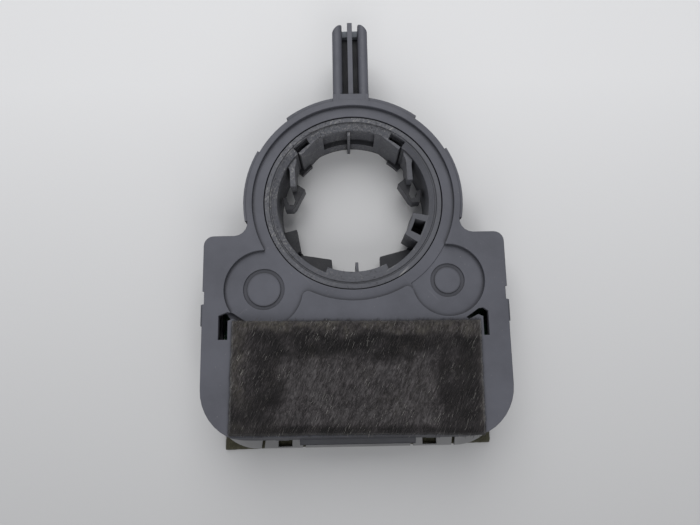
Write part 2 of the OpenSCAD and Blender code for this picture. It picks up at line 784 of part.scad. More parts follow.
// What is cut from the tube's wall: the pocket, short of the key rib in it, and the deep slots
module tube_cuts() {
    difference() {
        sector(tube_radius - 1, tube_radius + pocket_depth, pocket_z0, pocket_z1,
               90 - pocket_half, 90 + pocket_half);
        key_rib(90, near_rib_reach, 0);
    }
    deep_slots();
}

module rotor() {
    color(rotor_grey) {
        difference() {
            union() {
                rotor_body();
                rotate([0, 0, rotor_turn]) pocket_back();
            }
            rotate([0, 0, rotor_turn]) tube_cuts();
        }
        rotate([0, 0, rotor_turn]) difference() {
            rotor_inside();
            deep_slots();
        }
    }
}

// Measuring gears

module measuring_gear(pos, teeth, phase) {
    pitch_r = gear_module * teeth / 2;
    color(gear_white) translate([pos[0], pos[1], 0]) difference() {
        union() {
            translate([0, 0, gear_z]) linear_extrude(gear_w) polygon(gear_outline(teeth, phase));
            translate([0, 0, gear_top_z - eps])
                cylinder(r = journal_r, h = journal_top_z - gear_top_z + eps);
            translate([0, 0, magnet_foot_z]) cylinder(r = hub_r, h = magnet_h + eps);
        }
        translate([0, 0, magnet_foot_z - 1]) cylinder(r = magnet_r, h = magnet_h + 1);
        // Weight-saving ring in the upper face
        translate([0, 0, gear_top_z]) tube(journal_r + 1.6, pitch_r - tooth_foot - 1.2, -0.9, 1);
    }
}

module gear_magnet(pos) {
    color(magnet_grey) translate([pos[0], pos[1], magnet_foot_z]) cylinder(r = magnet_r, h = magnet_h);
}

// Electronics

module board_outline_2d() {
    difference() {
        polygon(case_outline(-2 * wall - 2 * fit_gap - 0.4));
        circle(r = opening_r + 2);
        translate([-body_half_width, board_top_y]) square([2 * body_half_width, ring_radius - board_top_y]);
        translate([-socket_w / 2 - socket_wall - 0.6, -body_bottom - 5])
            square([socket_w + 2 * socket_wall + 1.2, socket_depth + socket_wall + 5.6]);
        for (p = board_post_points) translate(p) circle(r = board_pin_r + 0.15, $fn = 24);
        for (g = [[left_pos, left_angle], [right_pos, right_angle]], k = [0:2])
            translate(g[0] + polar(thrust_post_ring, g[1] + 120 * k))
                circle(r = thrust_post_r + 0.3, $fn = 24);
        for (i = [0:pin_count - 1]) translate([pin_x(i), pin_row_y]) square(pin_t + 0.2, center = true);
    }
}

module circuit_board() {
    color(board_green) translate([0, 0, board_z]) linear_extrude(board_t) board_outline_2d();
}

// Moulded chip with a row of gull-wing leads on two sides
module leaded_chip(pos, w, l, h, leads, pitch) {
    translate([pos[0], pos[1], board_top_z]) {
        block([-w / 2, -l / 2, 0.1], [w / 2, l / 2, h]);
        for (s = [-1, 1], i = [0:leads - 1])
            translate([s * w / 2, (i - (leads - 1) / 2) * pitch, 0])
                block([s > 0 ? -0.1 : -0.9, -pitch * 0.2, 0], [s > 0 ? 0.9 : 0.1, pitch * 0.2, 0.3]);
    }
}

// Square chip with leads on all four sides
module quad_chip(pos, w, h, leads, pitch) {
    leaded_chip(pos, w, w, h, leads, pitch);
    translate([pos[0], pos[1], board_top_z]) for (s = [-1, 1], i = [0:leads - 1])
        translate([(i - (leads - 1) / 2) * pitch, s * w / 2, 0])
            block([-pitch * 0.2, s > 0 ? -0.1 : -0.9, 0], [pitch * 0.2, s > 0 ? 0.9 : 0.1, 0.3]);
}

module field_sensor(pos) {
    color(chip_black) leaded_chip(pos, so_w, so_l, magnet_foot_z - board_top_z - 0.5, so_leads, so_pitch);
}

module controller_chip() {
    color(chip_black) quad_chip([2, up_y(27.8)], 10, 1.6, 10, 0.8);
}

module bus_transceiver() {
    color(chip_black) leaded_chip([right_x(21), up_y(21.8)], so_w, so_l, 1.6, so_leads, so_pitch);
}

module voltage_regulator() {
    color(chip_black) leaded_chip([-right_x(20), up_y(23.8)], 5.4, 6.2, 2.3, 2, 4.4);
}

module surge_diode() {
    color(chip_black) leaded_chip([socket_side + 13, up_y(12.3)], 2.6, 3.6, 2.1, 1, 1.6);
}

// Row of n small two-ended parts, each of the given width, length and height
module chip_row(start, step, n, size) {
    for (i = [0:n - 1]) translate(concat(start + step * i, [board_top_z]))
        block([-size[0] / 2, -size[1] / 2, 0], [size[0] / 2, size[1] / 2, size[2]]);
}

module chip_capacitors() {
    color(capacitor_tan) {
        chip_row([-12, up_y(21.8)], [2.4, 0], 4, capacitor_size);
        chip_row([right_x(16), up_y(15.8)], [0, 3], 3, capacitor_size);
    }
}

module chip_resistors() {
    color(chip_black) {
        chip_row([9, up_y(21.8)], [2, 0], 3, resistor_size);
        chip_row([-right_x(12), up_y(21.8)], [0, 2.6], 3, resistor_size);
    }
}

module supply_capacitors() {
    color(capacitor_tan) for (d = [9, 15]) translate([-socket_side - d, up_y(11.8), board_top_z])
        block([-1.9, -3.2, 0], [1.9, 3.2, 2.6]);
}

module line_choke() {
    color(chip_black) translate([socket_side + 6, up_y(12.3), board_top_z])
        block([-2.2, -1.6, 0], [2.2, 1.6, 2.8]);
}

module quartz_crystal() {
    color(tin) translate([-9, up_y(27.8), board_top_z]) round_slab(5, -1.6, 1.6, 0.6, 0, 1.2);
}

// Connector

module pin_carrier() {
    color(chip_black) difference() {
        block([-pin_count * pin_pitch / 2 - 0.6, socket_back_y + socket_wall + 0.6, board_top_z],
              [pin_count * pin_pitch / 2 + 0.6, pin_row_y + 1.8, socket_mid_z + 1.6]);
        for (i = [0:pin_count - 1]) one_pin(i);
    }
}

// Bent pin: from the socket inwards, then down through the board
module one_pin(i) {
    half = pin_t / 2;
    bend = [half, pin_row_y + half, socket_mid_z + half];
    translate([pin_x(i), 0, 0]) {
        block([-half, -body_bottom + 6, socket_mid_z - half], bend);
        block([-half, pin_row_y - half, board_z - 1], bend);
    }
}

module connector_pins() {
    color(tin) for (i = [0:pin_count - 1]) one_pin(i);
}

// Felt

// The pad lies on the face and sags into the tray, so its top is dished as well
module front_felt_pad() {
    top = front_z + front_felt_t;
    inset = tray_border + 0.5;
    color(felt_brown) {
        difference() {
            union() {
                translate([0, (felt_y0 + felt_y1) / 2, 0]) rotate([0, 0, front_felt_turn])
                    round_slab(front_felt_w, -front_felt_h / 2, front_felt_h / 2, 0.8, front_z, top);
                round_slab(front_felt_w - 2 * inset, felt_y0 + inset, felt_y1 - inset, 1.2,
                           felt_tray_z, front_z + eps);
            }
            round_slab(front_felt_w - 2 * inset - 2, felt_y0 + inset + 1, felt_y1 - inset - 1, 1,
                       top - tray_depth, top + 1);
        }
    }
}

module rear_felt_pad() {
    color(felt_olive) rear_felt_shape(0, rear_felt_t);
}

front_housing();
rear_cover();
rotor();
measuring_gear(left_pos, left_teeth, mesh_phase(left_angle, left_pitch_r));  // left_measuring_gear
measuring_gear(right_pos, right_teeth, mesh_phase(right_angle, right_pitch_r));  // right_measuring_gear
gear_magnet(left_pos);  // left_gear_magnet
gear_magnet(right_pos);  // right_gear_magnet
circuit_board();
field_sensor(left_pos);  // left_field_sensor
field_sensor(right_pos);  // right_field_sensor
controller_chip();
bus_transceiver();
voltage_regulator();
quartz_crystal();
supply_capacitors();
chip_capacitors();
chip_resistors();
line_choke();
surge_diode();
pin_carrier();
connector_pins();
front_felt_pad();
rear_felt_pad();
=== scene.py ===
"""Steering angle sensor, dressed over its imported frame.

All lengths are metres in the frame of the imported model: +Z is the front face, +Y the anti-rotation finger.
"""
import math
import random

import bmesh
import bpy
from bpy.props import FloatProperty, FloatVectorProperty, IntProperty, PointerProperty
from mathutils import Matrix, Vector, noise


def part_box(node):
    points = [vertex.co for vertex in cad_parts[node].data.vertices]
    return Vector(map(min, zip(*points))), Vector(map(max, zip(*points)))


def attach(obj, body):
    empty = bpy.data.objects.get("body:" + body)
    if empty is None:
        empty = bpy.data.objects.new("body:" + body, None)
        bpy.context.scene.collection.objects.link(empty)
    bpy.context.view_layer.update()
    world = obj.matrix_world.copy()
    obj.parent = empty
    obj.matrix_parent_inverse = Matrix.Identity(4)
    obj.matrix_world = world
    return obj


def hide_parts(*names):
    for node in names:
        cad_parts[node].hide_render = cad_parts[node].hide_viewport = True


bl_info = {
    "name": "Steering Angle Sensor",
    "version": (1, 0, 0),
    "blender": (4, 5, 0),
    "location": "View3D > Sidebar > Sensor",
    "description": "Finishes, felt pads and stage for a steering angle sensor",
    "category": "Object",
}

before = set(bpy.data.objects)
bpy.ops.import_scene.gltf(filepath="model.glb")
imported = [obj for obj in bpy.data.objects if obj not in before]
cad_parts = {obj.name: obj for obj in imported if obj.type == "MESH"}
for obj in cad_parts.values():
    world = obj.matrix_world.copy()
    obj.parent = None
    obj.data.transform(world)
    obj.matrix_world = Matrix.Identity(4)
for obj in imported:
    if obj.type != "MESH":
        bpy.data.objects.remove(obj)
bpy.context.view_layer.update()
MM = 0.001
BACKDROP = (0.70, 0.70, 0.71, 1)
FRONT_FELT_TURN = math.radians(-0.8)
REAR_FELT_TURN = math.radians(0.5)
# Slots of the finger: place from its middle, width, and the web's reach back from the tip and below the front
SLOT_PLACE, SLOT_WIDTH = 1.7 * MM, 1.8 * MM
WEB_BACK, WEB_DEPTH = (0.5 * MM, 2.7 * MM), (4.4 * MM, 8.0 * MM)


def turned_size(node, turn):
    """Centre, width and height of a rectangle that stands turned in its node's box."""
    low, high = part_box(node)
    wide, tall = high.x - low.x, high.y - low.y
    c, s = math.cos(turn), abs(math.sin(turn))
    width = (wide * c - tall * s) / (c * c - s * s)
    return (low + high) / 2, width, (tall - width * s) / c


# Settings


def colour(name, description, value):
    return FloatVectorProperty(name=name, description=description, default=value, size=3, min=0, max=1,
                               subtype="COLOR")


def length(name, description, value, low, high):
    return FloatProperty(name=name, description=description, default=value, min=low, max=high,
                         unit="LENGTH", precision=5)


def share(name, description, value):
    return FloatProperty(name=name, description=description, default=value, min=0, max=1, subtype="FACTOR")


class PlasticSettings(bpy.types.PropertyGroup):
    case_colour: colour("Case", "Colour of the front shell", (0.082, 0.084, 0.099))
    cover_colour: colour("Cover", "Colour of the rear cover", (0.230, 0.230, 0.232))
    rotor_colour: colour("Rotor", "Colour of the rotor", (0.080, 0.082, 0.093))
    dust_colour: colour("Dust", "Colour of dust and scuffs", (0.42, 0.41, 0.39))
    roughness: share("Roughness", "Roughness of the moulded plastic", 0.5)
    grain: length("Grain", "Depth of the moulded grain", 0.00002, 0, 0.0002)
    edge_round: length("Edge rounding", "Radius of the rounding on the moulded edges", 0.0003, 0, 0.001)


class FeltSettings(bpy.types.PropertyGroup):
    dark: colour("Dark felt", "Colour of the front felt", (0.012, 0.0105, 0.011))
    light: colour("Light felt", "Colour of the front felt's rubbed fibres", (0.060, 0.054, 0.056))
    worn: colour("Worn felt", "Colour of the front felt along its edges", (0.074, 0.068, 0.056))
    rubbed: colour("Rubbed felt", "Colour of the front felt where it lies in the tray", (0.072, 0.068, 0.069))
    olive: colour("Olive felt", "Colour of the rear felt", (0.045, 0.043, 0.027))
    pale: colour("Pale fibre", "Colour of the palest fibres", (0.42, 0.41, 0.38))
    sag: length("Sag", "Depth that the front felt sags into its tray", 0.0017, 0, 0.002)
    fibre_length: length("Fibre length", "Length of a loose fibre", 0.0015, 0.0003, 0.004)
    fibre_width: length("Fibre width", "Thickness of a loose fibre", 0.00005, 0.00001, 0.0003)
    fibre_lean: FloatProperty(name="Fibre direction", description="Main direction of the fibres in the pad's plane",
                              default=math.radians(66), subtype="ANGLE")
    fibres: IntProperty(name="Fibres", description="Number of loose fibres per square centimetre", default=330,
                        min=0, max=600)
    lint: IntProperty(name="Lint", description="Number of lint fibres per square centimetre of the rotor's rim",
                      default=45, min=0, max=200)
    seed: IntProperty(name="Seed", description="Seed of the felt's unevenness", default=7)


class InsideSettings(bpy.types.PropertyGroup):
    acetal: colour("Acetal", "Colour of the measuring gears", (0.70, 0.69, 0.63))
    magnet: colour("Magnet", "Colour of the magnets", (0.085, 0.085, 0.09))
    board: colour("Board", "Colour of the solder mask", (0.004, 0.035, 0.016))
    trace: colour("Traces", "Colour of the mask over copper", (0.010, 0.07, 0.03))
    epoxy: colour("Chip", "Colour of the moulded chips", (0.022, 0.022, 0.024))
    tantalum: colour("Capacitor", "Colour of the moulded capacitors", (0.52, 0.32, 0.09))
    tin: colour("Tin", "Colour of tinned metal", (0.66, 0.65, 0.61))


class StageSettings(bpy.types.PropertyGroup):
    floor: colour("Floor", "Colour of the table", (0.672, 0.672, 0.675))
    eye: FloatVectorProperty(name="Camera", description="Place of the camera", size=3, subtype="XYZ", unit="LENGTH",
                             default=(-0.00186, -0.04843, 0.181))
    tilt: FloatProperty(name="Tilt", description="Angle of the view from straight down", subtype="ANGLE",
                        default=math.radians(10))
    roll: FloatProperty(name="Roll", description="Turn of the picture", subtype="ANGLE", default=math.radians(1.1))
    lens: FloatProperty(name="Lens", description="Focal length on a 36 mm sensor, in millimetres", default=27.77,
                        min=10, max=200)
    lamp_power: FloatProperty(name="Lamp", description="Power of the softbox behind the finger, in watts", default=5.6,
                              min=0, max=100, subtype="POWER")
    sky: share("Sky", "Strength of the room's light", 0.34)


# Finishes


class Finish:
    """A new material, with short ways to add nodes to it."""

    def __init__(self, name):
        self.material = bpy.data.materials.new(name)
        self.material.use_nodes = True
        self.tree = self.material.node_tree
        self.shader = self.tree.nodes["Principled BSDF"]
        self.place = self.node("ShaderNodeTexCoord").outputs["Object"]

    def node(self, kind, inputs=None, **settings):
        made = self.tree.nodes.new(kind)
        for key, value in settings.items():
            setattr(made, key, value)
        for key, value in (inputs or {}).items():
            self.put(made.inputs[key], value)
        return made

    def put(self, socket, value):
        if isinstance(value, bpy.types.NodeSocket):
            self.tree.links.new(value, socket)
        elif hasattr(value, "__len__") and len(value) == 3 and socket.type == "RGBA":
            socket.default_value = (*value, 1)
        else:
            socket.default_value = value

    def set(self, **values):
        for key, value in values.items():
            self.put(self.shader.inputs[key.replace("_", " ")], value)

    def mapped(self, stretch=(1, 1, 1), turn=0.0, shift=(0, 0, 0)):
        return self.node("ShaderNodeMapping", {"Vector": self.place, "Scale": stretch, "Rotation": (0, 0, turn),
                                               "Location": shift}).outputs["Vector"]

    def along(self, angle, stretch, shift=(0, 0, 0)):
        """Coordinates in which a pattern is stretched along the direction angle of the XY plane."""
        return self.node("ShaderNodeMapping", {"Vector": self.place, "Scale": (1, stretch, 1), "Location": shift,
                                               "Rotation": (0, 0, angle - math.pi / 2)},
                         vector_type="TEXTURE").outputs["Vector"]

    def noise(self, scale, detail=2.0, rough=0.5, vector=None):
        made = self.node("ShaderNodeTexNoise", {"Vector": vector or self.place, "Scale": scale, "Detail": detail,
                                                "Roughness": rough})
        return made.outputs["Fac"]

    def cells(self, scale, vector=None, feature="F1"):
        made = self.node("ShaderNodeTexVoronoi", {"Vector": vector or self.place, "Scale": scale}, feature=feature)
        return made.outputs["Distance"]

    def band(self, value, low, high, out_low=0.0, out_high=1.0):
        """value mapped from low..high to out_low..out_high, clamped."""
        return self.node("ShaderNodeMapRange", {"Value": value, "From Min": low, "From Max": high,
                                                "To Min": out_low, "To Max": out_high}).outputs["Result"]

    def math(self, operation, a, b=0.0):
        made = self.node("ShaderNodeMath", operation=operation)
        self.put(made.inputs[0], a)
        self.put(made.inputs[1], b)
        return made.outputs["Value"]

    def mix(self, factor, a, b, blend="MIX"):
        made = self.node("ShaderNodeMix", data_type="RGBA", blend_type=blend, clamp_factor=True)
        self.put(made.inputs[0], factor)
        self.put(made.inputs[6], a)
        self.put(made.inputs[7], b)
        return made.outputs[2]

    def bump(self, height, distance, normal=None, strength=1.0):
        made = self.node("ShaderNodeBump", {"Height": height, "Distance": distance, "Strength": strength})
        if normal:
            self.put(made.inputs["Normal"], normal)
        return made.outputs["Normal"]

    def rounded(self, radius):
        return self.node("ShaderNodeBevel", {"Radius": radius}, samples=6).outputs["Normal"]

    def corners(self, distance):
        """Mask for painted shade: 1 deep in a corner, 0 on an open face."""
        made = self.node("ShaderNodeAmbientOcclusion", {"Distance": distance}, samples=8)
        return self.band(made.outputs["AO"], 0.85, 0.45)

    def attribute(self, name):
        return self.node("ShaderNodeAttribute", attribute_name=name, attribute_type="GEOMETRY").outputs["Fac"]

    def part(self, axis):
        split = self.node("ShaderNodeSeparateXYZ", {"Vector": self.place})
        return split.outputs[axis]


def moulded_plastic(name, tone, settings, rub=None, dust=0.5, scuffs=0.5, shade_height=0.0, grooves=(),
                    lip_shade_y=None):
    """Satin moulded plastic with grain, mottling, dust and scuffs, and painted shade in its corners. rub is a pair of
    radii round the rotor axis between which the plastic is scratched, shade_height the height below which up-facing
    faces get painted shade, grooves the centre, radius and width of each groove that gets a painted shaded ring, and
    lip_shade_y the Y below which the edge gets painted shade."""
    f = Finish(name)
    lighter = [min(1, c * 1.12) for c in tone]
    darker = [c * 0.90 for c in tone]
    mottle = f.noise(70, 4, 0.6)
    base = f.mix(f.band(mottle, 0.35, 0.65), darker, lighter)
    fine = f.noise(900, 3, 0.6)
    base = f.mix(f.band(fine, 0.3, 0.75, 0, 0.22), base, lighter)
    # Fine scratches in two directions
    one = f.band(f.noise(1800, 1, 0.4, f.along(0.7, 26)), 0.72, 0.80)
    two = f.band(f.noise(2100, 1, 0.4, f.along(2.3, 30, (0.3, 0, 0))), 0.73, 0.81)
    lines = f.math("MAXIMUM", one, two)
    patch = f.band(f.noise(45, 2), 0.42, 0.62)
    lines = f.math("MULTIPLY", lines, f.math("MULTIPLY", patch, scuffs))
    specks = f.band(f.cells(900), 0.16, 0.05)
    specks = f.math("MULTIPLY", specks, f.band(f.noise(400, 2), 0.55, 0.66, 0, dust))
    marks = f.math("MAXIMUM", lines, specks)
    if rub:
        flat = f.node("ShaderNodeCombineXYZ", {"X": f.part("X"), "Y": f.part("Y")}).outputs["Vector"]
        radius = f.node("ShaderNodeVectorMath", {0: flat}, operation="LENGTH").outputs["Value"]
        inside = f.math("MULTIPLY", f.band(radius, rub[0] - 0.001, rub[0]), f.band(radius, rub[1] + 0.0006, rub[1]))
        worn = f.band(f.noise(1900, 4, 0.75, f.along(1.1, 1.8)), 0.50, 0.68)
        where = f.band(f.noise(150, 3, 0.6, f.mapped(shift=(0.031, 0.012, 0))), 0.38, 0.52)
        # Most of the wear is on the left and towards the finger
        turned = f.math("SUBTRACT", f.math("MULTIPLY", f.part("Y"), 0.6), f.part("X"))
        where = f.math("MULTIPLY", where, f.band(turned, -0.012, 0.016, 0.12, 1.0))
        marks = f.math("MAXIMUM", marks, f.math("MULTIPLY", f.math("MULTIPLY", worn, where), inside))
        chips = f.math("MULTIPLY", f.band(f.noise(1300, 3, 0.7), 0.56, 0.64), f.math("MULTIPLY", where, inside))
        base = f.mix(f.math("MULTIPLY", chips, 0.75), base, [c * 0.25 for c in tone])
    base = f.mix(f.math("MULTIPLY", marks, 0.5), base, settings.dust_colour)
    # Painted shade: up-facing faces below the given height are darkened, standing in for the shade low in slots and the
    # bore
    if shade_height:
        up = f.node("ShaderNodeSeparateXYZ", {"Vector": f.node("ShaderNodeNewGeometry").outputs["Normal"]}).outputs["Z"]
        deep = f.math("MULTIPLY", f.band(f.part("Z"), shade_height + 0.002, shade_height), f.band(up, 0.4, 0.9, 0.1, 1))
        base = f.mix(f.math("MULTIPLY", deep, 0.8), base, [c * 0.2 for c in tone])
    # Painted shade in concave corners and creases, from ambient occlusion
    base = f.mix(f.math("MULTIPLY", f.corners(0.0015), 0.8), base, [c * 0.2 for c in tone])
    # Painted shade along the case's bottom edge, below the given Y
    if lip_shade_y is not None:
        base = f.mix(f.band(f.part("Y"), lip_shade_y + 0.0004, lip_shade_y - 0.0004, 0, 0.8), base, [c * 0.2 for c in tone])
    # Painted shade: a dark ring just inside each groove's radius stands in for the shade in the groove
    for centre, radius, width in grooves:
        away = f.node("ShaderNodeVectorMath", {0: f.place, 1: centre}, operation="DISTANCE").outputs["Value"]
        ring = f.math("MULTIPLY", f.band(away, radius - width * 1.2, radius - width * 0.7),
                      f.band(away, radius + width * 0.15, radius - width * 0.2))
        base = f.mix(f.math("MULTIPLY", ring, 0.45), base, [c * 0.3 for c in tone])
    grain = f.noise(5200, 2, 0.5)
    normal = f.bump(grain, settings.grain, f.rounded(settings.edge_round))
    normal = f.bump(marks, 0.00003, normal, 0.5)
    rough = f.band(f.noise(260, 3), 0.3, 0.7, settings.roughness - 0.05, settings.roughness + 0.08)
    f.set(Base_Color=base, Roughness=f.math("ADD", rough, f.math("MULTIPLY", marks, 0.15)), Normal=normal)
    f.shader.inputs["Specular IOR Level"].default_value = 0.25
    return f.material


def felt_finish(name, settings, dark, light, worn):
    """Needle felt: dark ground, slanted pale streaks, olive and brown where the attribute worn is high, and painted
    shade on the slopes of the hollow from a third attribute.
    """
    f = Finish(name)
    streaks = f.noise(640, 4, 0.65, f.along(settings.fibre_lean, 5))
    tufts = f.noise(520, 5, 0.75)
    clumps = f.noise(130, 3, 0.6)
    fine = f.noise(3200, 3, 0.7, f.along(settings.fibre_lean, 6))
    base = f.mix(f.band(streaks, 0.44, 0.66), dark, light)
    base = f.mix(f.band(tufts, 0.40, 0.60, 0, 0.75), base, dark)
    base = f.mix(f.math("MULTIPLY", f.attribute("worn"), f.band(clumps, 0.3, 0.6, 0.25, 0.95)), base, worn)
    base = f.mix(f.math("MULTIPLY", f.attribute("rubbed"), f.band(streaks, 0.38, 0.6, 0.25, 1)), base, settings.rubbed)
    base = f.mix(f.band(f.noise(1500, 3, 0.7, f.along(settings.fibre_lean, 2.2)), 0.44, 0.60, 0, 0.7), base, dark)
    base = f.mix(f.band(fine, 0.50, 0.66, 0, 0.7), base, [c * 1.7 for c in light])
    # Painted shade on the felt's slopes down into the tray and on its curled edge
    base = f.mix(f.attribute("hollow"), base, [c * 0.45 for c in dark])
    height = f.math("ADD", f.math("MULTIPLY", streaks, 0.6), f.math("MULTIPLY", fine, 0.4))
    f.set(Base_Color=base, Roughness=0.95, Normal=f.bump(height, 0.0005))
    f.shader.inputs["Specular IOR Level"].default_value = 0.15
    f.shader.inputs["Sheen Weight"].default_value = 0.25
    f.shader.inputs["Sheen Roughness"].default_value = 0.5
    return f.material


def fibre_finish(name, settings):
    """Loose fibres, each with its own tone from the attribute tone."""
    f = Finish(name)
    tone = f.attribute("tone")
    base = f.mix(f.band(tone, 0.0, 0.75), settings.dark, settings.light)
    clusters = f.band(f.noise(170, 3, 0.6), 0.47, 0.60, 0.15, 1.2)
    base = f.mix(f.math("MULTIPLY", f.band(tone, 0.86, 0.97), clusters), base, settings.pale)
    base = f.mix(f.band(f.noise(90), 0.5, 0.65, 0, 0.35), base, settings.worn)
    f.set(Base_Color=base, Roughness=0.7)
    f.shader.inputs["Specular IOR Level"].default_value = 0.3
    return f.material


def acetal_finish(tone):
    f = Finish("acetal")
    base = f.mix(f.band(f.noise(300, 3), 0.3, 0.7), tone, [c * 0.9 for c in tone])
    base = f.mix(f.band(f.cells(2600), 0.14, 0.05, 0, 0.35), base, (0.25, 0.22, 0.18))
    f.set(Base_Color=base, Roughness=f.band(f.noise(900), 0.3, 0.7, 0.32, 0.46),
          Normal=f.bump(f.noise(4000, 2), 0.00001, f.rounded(0.0001)))
    f.shader.inputs["Subsurface Weight"].default_value = 0.15
    f.shader.inputs["Subsurface Radius"].default_value = (0.001, 0.001, 0.0008)
    return f.material


def magnet_finish(tone):
    f = Finish("sintered_magnet")
    base = f.mix(f.band(f.noise(2500, 4, 0.7), 0.35, 0.65), [c * 0.7 for c in tone], [c * 1.6 for c in tone])
    f.set(Base_Color=base, Roughness=f.band(f.noise(1500, 3), 0.3, 0.7, 0.45, 0.65), Metallic=0.35,
          Normal=f.bump(f.noise(6000, 3), 0.00002, f.rounded(0.0001)))
    return f.material


def board_finish(settings):
    """Solder mask over copper traces, tinned vias and the weave of the glass cloth."""
    f = Finish("solder_mask")
    run = f.cells(260, f.mapped((1, 1, 0.001)), "DISTANCE_TO_EDGE")
    trace = f.band(run, 0.07, 0.05)
    via = f.band(f.cells(330, f.mapped((1, 1, 0.001), 0.4)), 0.12, 0.09)
    weave = f.math("MULTIPLY", f.node("ShaderNodeTexWave", {"Vector": f.place, "Scale": 900}).outputs["Fac"],
                   f.node("ShaderNodeTexWave", {"Vector": f.mapped(turn=math.pi / 2), "Scale": 900}).outputs["Fac"])
    base = f.mix(trace, settings.board, settings.trace)
    base = f.mix(f.math("MULTIPLY", weave, 0.12), base, (0.3, 0.32, 0.2))
    base = f.mix(via, base, settings.tin)
    f.set(Base_Color=base, Roughness=f.band(f.noise(700), 0.3, 0.7, 0.22, 0.34), Metallic=f.math("MULTIPLY", via, 0.9),
          Normal=f.bump(f.math("ADD", trace, f.math("MULTIPLY", weave, 0.2)), 0.00003))
    return f.material


def epoxy_finish(name, tone):
    f = Finish(name)
    base = f.mix(f.band(f.noise(1800, 4, 0.7), 0.3, 0.7), [c * 0.8 for c in tone], [c * 1.5 for c in tone])
    f.set(Base_Color=base, Roughness=f.band(f.noise(2500, 3), 0.3, 0.7, 0.5, 0.7),
          Normal=f.bump(f.noise(7000, 3), 0.00002, f.rounded(0.00008)))
    return f.material


def tin_finish(name, tone):
    f = Finish(name)
    base = f.mix(f.band(f.noise(1500, 3), 0.3, 0.7), [c * 0.85 for c in tone], tone)
    f.set(Base_Color=base, Roughness=f.band(f.noise(2200, 3), 0.3, 0.7, 0.22, 0.42), Metallic=1.0,
          Normal=f.bump(f.noise(3000, 2), 0.00001, f.rounded(0.00005)))
    return f.material


# Pieces


def new_piece(name, mesh, materials):
    made = bpy.data.objects.new(name, mesh)
    bpy.context.scene.collection.objects.link(made)
    for material in materials:
        mesh.materials.append(material)
    return made


def dress(node, material):
    """A CAD node keeps its shape and gets a finish."""
    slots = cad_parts[node].data.materials
    slots.clear()
    slots.append(material)


def merged_copy(name, node, materials):
    """A copy of a CAD node's mesh with its doubles merged and its curved faces smooth."""
    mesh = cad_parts[node].data.copy()
    mesh.name = name
    mesh.materials.clear()
    work = bmesh.new()
    work.from_mesh(mesh)
    bmesh.ops.remove_doubles(work, verts=work.verts, dist=1e-6)
    bmesh.ops.dissolve_limit(work, angle_limit=math.radians(0.5), verts=work.verts, edges=work.edges)
    work.to_mesh(mesh)
    work.free()
    mesh.set_sharp_from_angle(angle=math.radians(28))
    for face in mesh.polygons:
        face.use_smooth = True
    return new_piece(name, mesh, materials)


def islands(node):
    """Boxes of the separate solids in one CAD node."""
    work = bmesh.new()
    work.from_mesh(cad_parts[node].data)
    bmesh.ops.remove_doubles(work, verts=work.verts, dist=1e-6)
    left, found = set(work.verts), []
    while left:
        queue, members = [next(iter(left))], set()
        while queue:
            vertex = queue.pop()
            if vertex in members:
                continue
            members.add(vertex)
            queue += [edge.other_vert(vertex) for edge in vertex.link_edges]
        left -= members
        places = [v.co for v in members]
        low = Vector([min(p[i] for p in places) for i in range(3)])
        high = Vector([max(p[i] for p in places) for i in range(3)])
        found.append((low, high))
    work.free()
    return sorted(found, key=lambda b: tuple(b[0]))


def add_block(work, low, high, material_index, bevel):
    made = bmesh.ops.create_cube(work, size=1.0)["verts"]
    for v in made:
        v.co = Vector([low[i] + (v.co[i] + 0.5) * (high[i] - low[i]) for i in range(3)])
    edges = list({e for v in made for e in v.link_edges})
    cut = bmesh.ops.bevel(work, geom=edges, offset=bevel, segments=2, profile=0.5, affect="EDGES")
    faces = set(cut["faces"]) | {f for v in cut["verts"] for f in v.link_faces}
    for face in faces:
        face.material_index = material_index
        face.smooth = False


def end_capped_parts(name, node, materials, cap, bevel):
    """Small board parts: a moulded middle between two tinned ends, one for each solid of the node."""
    work = bmesh.new()
    for low, high in islands(node):
        long_axis = 0 if high.x - low.x > high.y - low.y else 1
        inner_low, inner_high = low.copy(), high.copy()
        inner_low[long_axis] += cap * 0.9
        inner_high[long_axis] -= cap * 0.9
        sunk = Vector([0 if i == long_axis else 0.00004 for i in range(3)])
        add_block(work, inner_low + sunk, inner_high - sunk, 0, bevel * 0.6)
        first_high, second_low = high.copy(), low.copy()
        first_high[long_axis] = low[long_axis] + cap
        second_low[long_axis] = high[long_axis] - cap
        add_block(work, low, first_high, 1, bevel)
        add_block(work, second_low, high, 1, bevel)
    mesh = bpy.data.meshes.new(name)
    work.to_mesh(mesh)
    work.free()
    return new_piece(name, mesh, materials)


def ramp(value, low, high):
    """Smooth step from 0 at low to 1 at high."""
    t = max(0.0, min(1.0, (value - low) / (high - low)))
    return t * t * (3 - 2 * t)


def closed_sheet(name, across, along, shape, materials):
    """A closed pad on a grid. shape(u, v) gives the top point, the bottom point and the attributes."""
    top, bottom, facts = [], [], []
    for j in range(along + 1):
        for i in range(across + 1):
            over, under, fact = shape(i / across, j / along)
            top.append(over)
            bottom.append(under)
            facts.append(fact)
    row, count = across + 1, len(top)
    faces = []
    for j in range(along):
        for i in range(across):
            a = j * row + i
            faces.append((a, a + 1, a + 1 + row, a + row))
            faces.append((a + count, a + row + count, a + 1 + row + count, a + 1 + count))
    rim = [i for i in range(row)] + [j * row + across for j in range(1, along + 1)]
    rim += [along * row + i for i in range(across - 1, -1, -1)] + [j * row for j in range(along - 1, 0, -1)]
    for k, a in enumerate(rim):
        b = rim[(k + 1) % len(rim)]
        faces.append((a, a + count, b + count, b))
    mesh = bpy.data.meshes.new(name)
    mesh.from_pydata(top + bottom, [], faces)
    for key in facts[0]:
        layer = mesh.attributes.new(key, "FLOAT", "POINT")
        values = [fact[key] for fact in facts]
        layer.data.foreach_set("value", values + values)
    for face in mesh.polygons:
        face.use_smooth = True
    mesh.validate()
    return new_piece(name, mesh, materials)


def lumps(x, y, scale, seed):
    return noise.noise(Vector((x * scale, y * scale, seed * 3.17)))


